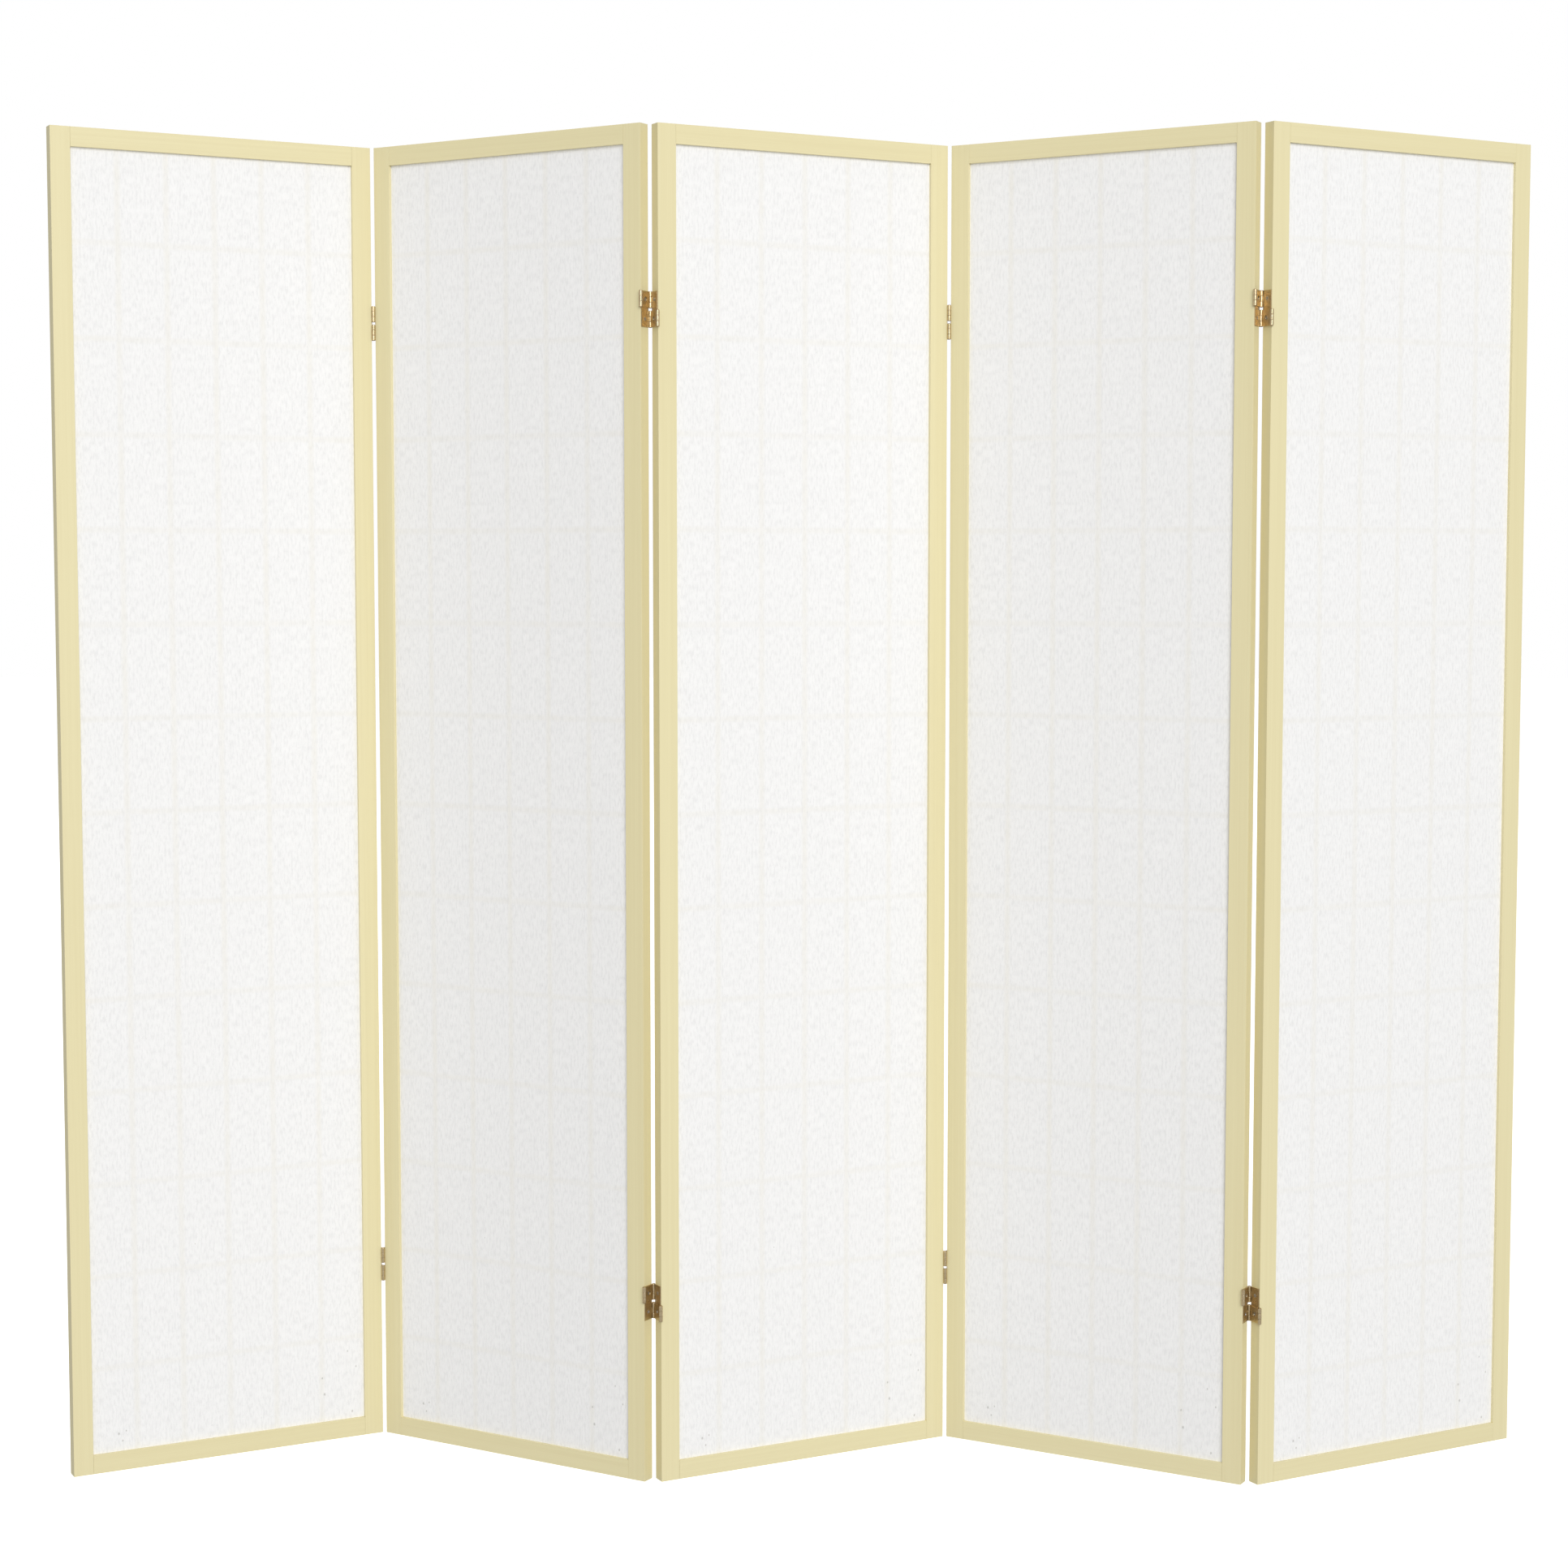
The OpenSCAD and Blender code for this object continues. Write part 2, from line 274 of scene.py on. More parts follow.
@dataclass(frozen=True)
class WoodFinish:
    """Planed pale wood with straight grain under a thin satin coat."""

    name: str
    light: Colour
    dark: Colour
    grain: float
    roughness: float = 0.46
    coat: float = 0.12

    def make(self) -> bpy.types.Material:
        """Builds the material: broad streaks, fine fibres, and pores in short dashes.

        Returns:
            The material.
        """
        graph = Graph(self.name)
        drift = graph.noise((6, 6, 0.7))
        streaks = graph.noise((330, 150, 1.6), 3, 0.6)
        fibres = graph.noise((1500, 1500, 12), 2)
        pores = graph.ranged(graph.noise((3200, 3200, 160), 1), (0.66, 0.8), (0, 1))
        tone = graph.math("ADD", graph.math("MULTIPLY", streaks, 0.55), graph.math("MULTIPLY", fibres, 0.3))
        tone = graph.math("ADD", tone, graph.math("MULTIPLY", drift, 0.35))
        share = graph.math("MULTIPLY", graph.ranged(tone, (0.42, 0.8), (0, 1)), self.grain)
        share = graph.math("ADD", share, graph.math("MULTIPLY", pores, 0.25 * self.grain))
        colour = graph.mixed(share, self.light, self.dark)
        height = graph.math("SUBTRACT", fibres, graph.math("MULTIPLY", pores, 0.8))
        bump = graph.add("Bump", {"Strength": 0.25, "Distance": 0.00006, "Height": height})
        rough = graph.ranged(tone, (0.3, 0.9), (self.roughness - 0.05, self.roughness + 0.07))
        body = {
            "Base Color": colour,
            "Roughness": rough,
            "Specular IOR Level": 0.4,
            "Coat Weight": self.coat,
            "Coat Roughness": 0.35,
            "Normal": bump.outputs[0],
        }
        return graph.finish(graph.add("BsdfPrincipled", body).outputs[0])


@dataclass(frozen=True)
class Fleck:
    """A scrap of bark left in the paper."""

    across: float
    up: float
    radius: float
    tall: float = 1.4


@dataclass(frozen=True)
class PaperFinish:
    """Handmade paper with upright fibres, glued to the lattice."""

    name: str
    across: float
    up: float
    body: Colour = (0.976, 0.972, 0.962)
    fibre: Colour = (0.852, 0.849, 0.843)
    # painted shade of the lattice bars behind the paper, yellowed like the wood
    bar: Colour = (0.88, 0.855, 0.78)
    bark: Colour = (0.30, 0.28, 0.24)
    through: float = 0.05
    flecks: tuple[Fleck, ...] = (
        Fleck(0.347, 0.087, 0.0011),
        Fleck(0.350, 0.064, 0.0014),
        Fleck(0.062, 0.049, 0.0013),
        Fleck(0.072, 0.052, 0.0009),
        Fleck(0.067, 0.039, 0.0010),
        Fleck(0.390, 0.035, 0.0012),
        Fleck(0.396, 0.098, 0.0010),
        Fleck(0.384, 0.121, 0.0009),
        Fleck(0.170, 0.296, 0.0006),
    )

    def painted_bar_shade(self, graph: Graph, split: bpy.types.Node) -> bpy.types.NodeSocket:
        """Share of the painted shade of the lattice bars behind the paper, tinted by the wood, from 0 to 1.

        The distance to the nearest bar is the place folded to and fro over half
        a cell, in both directions. A bar fades out past its edges, and the
        crossbars, which lie behind the uprights, show less.

        Args:
            graph: The material's graph.
            split: Node with the place across and up.

        Returns:
            The larger of the two directions' shares.
        """
        shares = []
        for axis, cell, most in (("X", self.across, 0.38), ("Z", self.up, 0.27)):
            away = graph.math("PINGPONG", split.outputs[axis], cell / 2)
            shares.append(graph.ranged(away, (0.0008, 0.0066), (most, 0)))
        uneven = graph.ranged(graph.noise((40, 40, 40), 2), (0.3, 0.7), (0.65, 1.25))
        return graph.math("MULTIPLY", graph.math("MAXIMUM", *shares), uneven)

    def bark_in(self, graph: Graph, spot: Fleck, origin: Colour) -> bpy.types.NodeSocket:
        """One fleck: 1 inside an upright oval with a wandering edge, 0 outside."""
        own = graph.place()
        at = (spot.across - origin[0], 0, spot.up - origin[2])
        off = graph.add("VectorMath", {0: own, 1: at}, operation="SUBTRACT").outputs[0]
        oval = graph.add("VectorMath", {0: off, 1: (1, 0, 1 / spot.tall)}, operation="MULTIPLY").outputs[0]
        away = graph.add("VectorMath", {0: oval}, operation="LENGTH").outputs["Value"]
        ragged = graph.math("MULTIPLY", graph.noise((900, 900, 900), 2), 0.0012)
        edge = graph.math("ADD", away, graph.math("SUBTRACT", ragged, 0.0006))
        return graph.ranged(edge, (spot.radius * 0.2, spot.radius * 1.6), (1, 0))

    def make(self, origin: Colour) -> bpy.types.Material:
        """Builds the material.

        Args:
            origin: The sheet's lower left corner in its panel.

        Returns:
            The material.
        """
        graph = Graph(self.name)
        split = graph.add("SeparateXYZ", {0: graph.place()})
        mottle = graph.noise((360, 360, 105), 3, 0.6)
        strands = graph.ranged(graph.noise((700, 700, 80), 2), (0.56, 0.72), (0, 0.35))
        specks = graph.ranged(graph.noise((230, 230, 170), 1), (0.68, 0.8), (0, 0.6))
        cloud = graph.math("MULTIPLY", graph.noise((75, 75, 30), 3), 0.45)
        share = graph.math("ADD", graph.ranged(mottle, (0.4, 0.72), (0, 0.75)), strands)
        share = graph.math("ADD", share, graph.math("ADD", specks, cloud))
        colour = graph.mixed(share, self.body, self.fibre)
        # paints the shade of the lattice bars onto the paper, tinted yellow like the wood behind it
        colour = graph.mixed(self.painted_bar_shade(graph, split), colour, self.bar)
        bark = 0.0
        for spot in self.flecks:
            bark = graph.math("MAXIMUM", bark, self.bark_in(graph, spot, origin))
        colour = graph.mixed(graph.math("MULTIPLY", bark, 0.5), colour, self.bark)
        bump = graph.add("Bump", {"Strength": 0.3, "Distance": 0.00008, "Height": mottle})
        body = {
            "Base Color": colour,
            "Roughness": 0.82,
            "Specular IOR Level": 0.2,
            "Normal": bump.outputs[0],
        }
        front = graph.add("BsdfPrincipled", body).outputs[0]
        glow = graph.add("BsdfTranslucent", {"Color": colour}).outputs[0]
        return graph.finish(graph.add("MixShader", {0: self.through, 1: front, 2: glow}).outputs[0])


@dataclass(frozen=True)
class MetalFinish:
    """Rolled or turned metal with fine scratches and a little tarnish."""

    name: str
    bright: Colour
    tarnish: Colour
    roughness: float
    scratch: float = 900.0

    def make(self) -> bpy.types.Material:
        """Builds the material on Object coordinates.

        Returns:
            The material.
        """
        graph = Graph(self.name)
        place = graph.add("TexCoord").outputs["Object"]
        patch = graph.add("TexNoise", {"Vector": place, "Scale": 140.0, "Detail": 3.0}).outputs["Fac"]
        fine = graph.add("TexNoise", {"Vector": place, "Scale": self.scratch, "Detail": 2.0}).outputs["Fac"]
        colour = graph.mixed(graph.ranged(patch, (0.42, 0.72), (0, 1)), self.bright, self.tarnish)
        rough = graph.ranged(fine, (0.25, 0.75), (self.roughness - 0.04, self.roughness + 0.06))
        bump = graph.add("Bump", {"Strength": 0.1, "Distance": 0.00002, "Height": fine})
        body = {"Base Color": colour, "Metallic": 1.0, "Roughness": rough, "Normal": bump.outputs[0]}
        return graph.finish(graph.add("BsdfPrincipled", body).outputs[0])


# ---- Panels ----


@dataclass(frozen=True)
class Place:
    """Where a panel stands: its front left corner and its angle from +X."""

    corner: Array
    heading: float

    @classmethod
    def of_panel(cls, number: int, sizes: "PanelSizes") -> "Place":
        """Reads a panel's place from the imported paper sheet.

        The sheet is long and thin in plan, so its length runs along the first
        principal direction of its corners, and its middle is the panel's.

        Args:
            number: The panel, from 1.
            sizes: Sizes of a panel.

        Returns:
            The place.
        """
        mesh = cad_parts[f"paper_{number}"].data
        points = np.zeros(len(mesh.vertices) * 3, np.float32)
        mesh.vertices.foreach_get("co", points)
        plan = np.unique(np.round(points.reshape(-1, 3)[:, :2].astype(float), 6), axis=0)
        middle = plan.mean(0)
        along = np.linalg.svd(plan - middle)[2][0]
        along = along * np.sign(along[0])
        back = np.array([-along[1], along[0]])
        seen = sizes.paper_set + sizes.paper_thickness / 2
        corner = middle - along * sizes.width / 2 - back * seen
        return cls(corner, math.atan2(along[1], along[0]))

    def seat(self, points: Array) -> Array:
        """Points in the panel's own coordinates, put where the panel stands."""
        c, s = math.cos(self.heading), math.sin(self.heading)
        u, v = points[..., 0], points[..., 1]
        plan = np.stack([u * c - v * s, u * s + v * c], -1) + self.corner
        return np.concatenate([plan, points[..., 2:]], -1)


@dataclass(frozen=True)
class PanelSizes:
    """Sizes of one panel; all five are alike."""

    height: float = 1.778
    width: float = 0.4334
    thickness: float = 0.0183
    stile: float = 0.0261
    rail: float = 0.0254
    seat_side: float = 0.0037
    seat_top: float = 0.0032
    seat_bottom: float = 0.0095
    seat_gap: float = 0.0003
    groove_gap: float = 0.0002
    paper_set: float = 0.0045
    paper_thickness: float = 0.0004
    bar_width: float = 0.0055
    bar_depth: float = 0.008
    lap_gap: float = 0.00005
    cells_across: int = 6
    cells_up: int = 14

    @property
    def groove(self) -> tuple[float, float]:
        """Front and back wall of the groove, behind the face of the frame."""
        return self.paper_set, self.paper_set + self.paper_thickness + self.bar_depth + self.groove_gap

    @property
    def left(self) -> float:
        """Left end of the lattice."""
        return self.stile - self.seat_side

    @property
    def bottom(self) -> float:
        """Lower end of the lattice."""
        return self.rail - self.seat_bottom

    @property
    def across(self) -> float:
        """Width of the lattice."""
        return self.width - 2 * self.left

    @property
    def up(self) -> float:
        """Height of the lattice."""
        return self.height - self.rail + self.seat_top - self.bottom


def make_piece(
    name: str,
    shell: Shell,
    place: Place,
    number: int,
    material: bpy.types.Material,
    nodes: tuple[str, ...],
) -> bpy.types.Object:
    """Turns a shell into a finished piece that rides on its panel.

    Args:
        name: Name of the piece.
        shell: Its surface in the panel's own coordinates.
        place: Where the panel stands.
        number: The panel, from 1.
        material: Its finish.
        nodes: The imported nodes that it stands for.

    Returns:
        The object.
    """
    mesh = bpy.data.meshes.new(name)
    mesh.from_pydata(place.seat(shell.points).tolist(), [], shell.faces)
    own = mesh.attributes.new(PLACE, "FLOAT_VECTOR", "POINT")
    own.data.foreach_set("vector", shell.own.astype(np.float32).ravel())
    closed = bmesh.new()
    closed.from_mesh(mesh)
    bmesh.ops.remove_doubles(closed, verts=closed.verts, dist=MERGE_DISTANCE)
    loose = [point for point in closed.verts if not point.link_faces]
    bmesh.ops.delete(closed, geom=loose, context="VERTS")
    bmesh.ops.recalc_face_normals(closed, faces=closed.faces)
    for face in closed.faces:
        face.smooth = True
    closed.to_mesh(mesh)
    closed.free()
    mesh.set_sharp_from_angle(angle=SHARP_ANGLE)
    mesh.materials.append(material)
    piece = bpy.data.objects.new(name, mesh)
    bpy.context.scene.collection.objects.link(piece)
    even = piece.modifiers.new("even_shading", "WEIGHTED_NORMAL")
    even.keep_sharp = True
    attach(piece, f"panel_{number}")
    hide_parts(*nodes)
    log.info("%s: %d faces on panel_%d", name, len(mesh.polygons), number)
    return piece


@dataclass(frozen=True)
class WoodenFrame:
    """Two stiles and two rails, grooved on their inner edges."""

    sizes: PanelSizes
    arris: float = 0.0003
    groove_edge: float = 0.0002
    seam: float = 0.0002
    seam_depth: float = 0.0006

    def groove_corners(self, reach: float, depth: float) -> tuple[Array, Array]:
        """Section of a grooved member, with x from its outer to its inner edge.

        Args:
            reach: Seen width of the member.
            depth: Depth of the groove from its inner edge.

        Returns:
            Corners and their radii.
        """
        front, back = self.sizes.groove
        thick, floor = self.sizes.thickness, reach - depth
        corners = [
            [0, 0],
            [reach, 0],
            [reach, front],
            [floor, front],
            [floor, back],
            [reach, back],
            [reach, thick],
            [0, thick],
        ]
        edge = self.groove_edge
        radii = [self.arris, edge, edge, edge / 3, edge / 3, edge, edge, self.arris]
        return np.array(corners), np.array(radii)

    def stile(self, side: Side, number: int) -> Shell:
        """A stile, whose groove stops short of its ends.

        Rings run up the stile. Outside the groove its points are brought out
        flush with the inner edge.

        Args:
            side: Which edge of the panel it is.
            number: The panel, which sets off its grain.

        Returns:
            The closed shell.
        """
        sizes = self.sizes
        corners, radii = self.groove_corners(sizes.stile, sizes.seat_side + sizes.seat_gap)
        z, inset = eased_ends(sizes.height, self.arris)
        stops = [sizes.bottom - sizes.seat_gap, sizes.bottom + sizes.up + sizes.seat_gap]
        z = np.insert(z, len(z) // 2, np.repeat(stops, 2))
        inset = np.insert(inset, len(inset) // 2, np.zeros(4))
        grooved = np.zeros(len(z), bool)
        grooved[len(z) // 2 - 1 : len(z) // 2 + 1] = True
        rings = np.stack([outline(corners, radii, d) for d in inset])
        in_groove = np.zeros(rings.shape[1], bool)
        arc = rings.shape[1] // len(corners)
        in_groove[2 * arc : 6 * arc] = True
        flush = in_groove[None] & ~grooved[:, None]
        rings[..., 0] = np.where(flush, sizes.stile - inset[:, None], rings[..., 0])
        z = np.broadcast_to(z[:, None, None], (*rings.shape[:2], 1))
        own = np.concatenate([rings, z], -1)
        points = own.copy()
        if side is Side.RIGHT:
            points[..., 0] = sizes.width - points[..., 0]
        offset = np.array([0.31 * number, 0.17 if side is Side.LEFT else 0.53, 0.7 * number])
        return Shell.lofted(points, own + offset)

    def rail(self, top: bool, number: int) -> Shell:
        """A rail between the stiles, grooved along its whole length.

        Its last bit at each end is drawn in, which leaves a fine seam beside
        the stile.

        Args:
            top: Whether it is the upper one.
            number: The panel, which sets off its grain.

        Returns:
            The closed shell.
        """
        sizes = self.sizes
        seat = sizes.seat_top if top else sizes.seat_bottom
        corners, radii = self.groove_corners(sizes.rail, seat + sizes.seat_gap)
        length = sizes.width - 2 * sizes.stile
        x = np.array([0, self.seam, length - self.seam, length])
        inset = np.array([self.seam_depth, 0, 0, self.seam_depth])
        rings = np.stack([outline(corners, radii, d) for d in inset])
        x = np.broadcast_to(x[:, None, None] + sizes.stile, (*rings.shape[:2], 1))
        own = np.concatenate([rings, x], -1)
        up = sizes.height - own[..., :1] if top else own[..., :1]
        points = np.concatenate([own[..., 2:], own[..., 1:2], up], -1)
        offset = np.array([0.23 * number, 0.83 if top else 0.61, 1.3 * number + top])
        return Shell.lofted(points, own + offset)

    def build(self, place: Place, number: int, material: bpy.types.Material) -> None:
        """Makes the four members of a panel."""
        made = {f"{side.value}_stile": self.stile(side, number) for side in Side}
        made |= {"top_rail": self.rail(True, number), "bottom_rail": self.rail(False, number)}
        for name, shell in made.items():
            node = f"{name}_{number}"
            make_piece(f"{name}_of_panel_{number}", shell, place, number, material, (node,))


@dataclass(frozen=True)
class Lattice:
    """Thin bars half-lapped into each other, uprights in front."""

    sizes: PanelSizes
    ease: float = 0.0004

    def bars(self, upright: bool, number: int) -> Shell:
        """All bars that run one way.

        Crossbars are cut from the front and uprights from the back, so a
        crossbar's section is turned front to back.

        Args:
            upright: Whether they run up the panel.
            number: The panel, which sets off their grain.

        Returns:
            One closed shell for each bar.
        """
        sizes = self.sizes
        runs = (sizes.across, sizes.cells_across), (sizes.up, sizes.cells_up)
        (spread, count), (length, cuts) = runs if upright else runs[::-1]
        middles = length / cuts * np.arange(1, cuts)[:, None]
        half = sizes.bar_width / 2 + sizes.lap_gap
        notches = middles + np.array([[-half, half]])
        rings = notched_bar(sizes.bar_width, sizes.bar_depth, length, self.ease, notches)
        front = sizes.groove[0] + sizes.paper_thickness
        through = rings[..., 1] if upright else sizes.bar_depth - rings[..., 1]
        through = through + front
        shells = []
        for bar in range(1, count):
            at = rings[..., 0] + spread / count * bar
            if upright:
                points = np.stack([sizes.left + at, through, sizes.bottom + rings[..., 2]], -1)
            else:
                points = np.stack([sizes.left + rings[..., 2], through, sizes.bottom + at], -1)
            shells.append(Shell.lofted(points, rings + np.array([0.037 * bar, 0.41 * number, 0.9 * bar])))
        return Shell.joined(shells)

    def build(self, place: Place, number: int, material: bpy.types.Material) -> list[bpy.types.Object]:
        """Makes the uprights and the crossbars of a panel."""
        return [
            make_piece(
                f"{name}_of_panel_{number}",
                self.bars(upright, number),
                place,
                number,
                material,
                (f"{name}_{number}",),
            )
            for name, upright in (("lattice_uprights", True), ("lattice_crossbars", False))
        ]


@dataclass(frozen=True)
class PaperSheet:
    """One sheet glued to the front of the lattice and held in the groove."""

    sizes: PanelSizes
    steps_across: int = 8
    steps_up: int = 10
    swell: float = 0.00022

    def surface(self, number: int) -> Shell:
        """The sheet as a closed shell with a slight swell in each cell.

        With a and b the places in a cell from 0 to 1, both faces come forward
        by swell sin(pi a)^2 sin(pi b)^2 times a slow wave over the sheet, so
        the sheet stays on the lattice along the bars. The margins in the
        groove lie flat.

        Args:
            number: The panel, which sets off the wave.

        Returns:
            The closed shell.
        """
        sizes = self.sizes
        across = np.linspace(0, sizes.across, sizes.cells_across * self.steps_across + 1)
        up = np.linspace(0, sizes.up, sizes.cells_up * self.steps_up + 1)
        u, z = np.meshgrid(across, up, indexing="ij")
        lift = np.sin(np.pi * u / sizes.across * sizes.cells_across) ** 2
        lift = lift * np.sin(np.pi * z / sizes.up * sizes.cells_up) ** 2
        wave = 0.6 + 0.4 * np.sin(19 * u + 2.1 * number) * np.cos(7 * z + 1.3 * number)
        bowed = self.swell * lift * wave
        edge = (u < sizes.seat_side) | (u > sizes.across - sizes.seat_side)
        edge |= (z < sizes.seat_bottom) | (z > sizes.up - sizes.seat_top)
        bowed[edge] = 0
        columns, rows = u.shape
        faces_v = [sizes.paper_set - bowed, sizes.paper_set + sizes.paper_thickness - bowed]
        sheets = [np.stack([sizes.left + u, v, sizes.bottom + z], -1).reshape(-1, 3) for v in faces_v]
        index = np.arange(columns * rows).reshape(columns, rows)
        quads = np.stack([index[:-1, :-1], index[1:, :-1], index[1:, 1:], index[:-1, 1:]], -1).reshape(-1, 4)
        rim = np.concatenate([index[:, 0], index[-1, 1:], index[-2::-1, -1], index[0, -2:0:-1]])
        following = np.roll(rim, -1)
        count = columns * rows
        walls = np.stack([rim + count, following + count, following, rim], -1)
        faces = np.concatenate([quads, quads[:, ::-1] + count, walls]).tolist()
        own = np.stack([u, np.zeros_like(u), z], -1).reshape(-1, 3)
        return Shell(np.concatenate(sheets), faces, np.concatenate([own, own]))

    def build(self, place: Place, number: int, material: bpy.types.Material, bars: list[bpy.types.Object]) -> None:
        """Makes the sheet of a panel."""
        sheet = make_piece(
            f"paper_of_panel_{number}",
            self.surface(number),
            place,
            number,
            material,
            (f"paper_{number}",),
        )


# ---- Hinges ----


def swept_sheet(path: Array, thickness: float, low: float, high: float, ease: float) -> Shell:
    """A strip of sheet metal bent along a path in plan.

    At each path point the section stands on the path's normal: thickness
    across it and low to high along z, with eased edges.

    Args:
        path: Middle of the sheet as (points, 2), in x and y.
        thickness: Thickness of the sheet.
        low: Lower edge.
        high: Upper edge.
        ease: Radius of its edges.

    Returns:
        The closed shell.
    """
    half = thickness / 2
    corners = np.array([[-half, low], [half, low], [half, high], [-half, high]])
    section = outline(corners, np.full(4, ease), steps=2)
    along = unit(np.gradient(path, axis=0))
    normal = np.stack([-along[:, 1], along[:, 0]], -1)
    plan = path[:, None] + normal[:, None] * section[None, :, :1]
    rings = np.concatenate([plan, np.broadcast_to(section[None, :, 1:], (*plan.shape[:2], 1))], -1)
    return Shell.lofted(rings, rings)


def lathed(profile: Array, around: int = 32) -> Array:
    """Rings about the z axis: radius cos t, radius sin t and height for each profile point.

    Args:
        profile: Radius and height of each ring, as (rings, 2).
        around: Points in a ring.

    Returns:
        Rings as (rings, around, 3).
    """
    t = np.linspace(0, 2 * math.pi, around, endpoint=False)
    circle = np.stack([np.cos(t), np.sin(t)], -1)
    plan = profile[:, None, :1] * circle[None]
    return np.concatenate([plan, np.broadcast_to(profile[:, None, 1:], (*plan.shape[:2], 1))], -1)


def pierced_plate(
    low: Array,
    high: Array,
    hole: Array,
    radii: tuple[float, float],
    span: tuple[float, float],
    ease: float,
    open_below: bool,
) -> Shell:
    """A flat plate in y and z round one hole, in rings that run round the hole.

    The rings go from the hole's lower edge to its upper edge, across the face
    to the plate's eased border, down its wall and back beneath. Points on the
    hole lie on the rays from its middle to the border's points.

    Args:
        low: Lowest y and z.
        high: Highest y and z.
        hole: Middle of the hole in y and z.
        radii: Radius of the hole below and above.
        span: Lower and upper face, in x.
        ease: Radius of the border's upper edge.
        open_below: Leaves out the wall at the lowest z, where another plate joins on.

    Returns:
        A shell, closed unless open_below is set.
    """
    t = np.linspace(0, 1, BORDER_STEPS + 1)[:-1, None]
    corners = np.array([low, [high[0], low[1]], high, [low[0], high[1]]])
    border = np.concatenate([a + t * (b - a) for a, b in zip(corners, np.roll(corners, -1, 0))])
    rays = unit(border - hole)
    shrink = np.array([1.0, 0.0 if open_below else 1.0])

    def drawn_in(by: float) -> Array:
        """The border moved inwards, at the lowest z too unless open_below is set."""
        return np.clip(border, low + by * shrink, high - by)

    bottom, top = span
    arc = ease * (1 - math.sqrt(0.5))
    rings = [
        (hole + radii[0] * rays, bottom),
        (hole + radii[1] * rays, top),
        (drawn_in(ease), top),
        (drawn_in(arc), top - arc),
        (border, top - ease),
        (border, bottom),
    ]
    points = np.stack([np.column_stack([np.full(len(yz), x), yz]) for yz, x in rings])
    count, around = points.shape[:2]
    ring, step = np.meshgrid(np.arange(count), np.arange(around), indexing="ij")
    up, on = (ring + 1) % count, (step + 1) % around
    quads = np.stack([ring * around + step, ring * around + on, up * around + on, up * around + step], -1)
    if open_below:
        quads = quads[~((ring >= 2) & (ring <= 4) & (step < BORDER_STEPS))]
    return Shell(points.reshape(-1, 3), quads.reshape(-1, 4).tolist(), points.reshape(-1, 3))


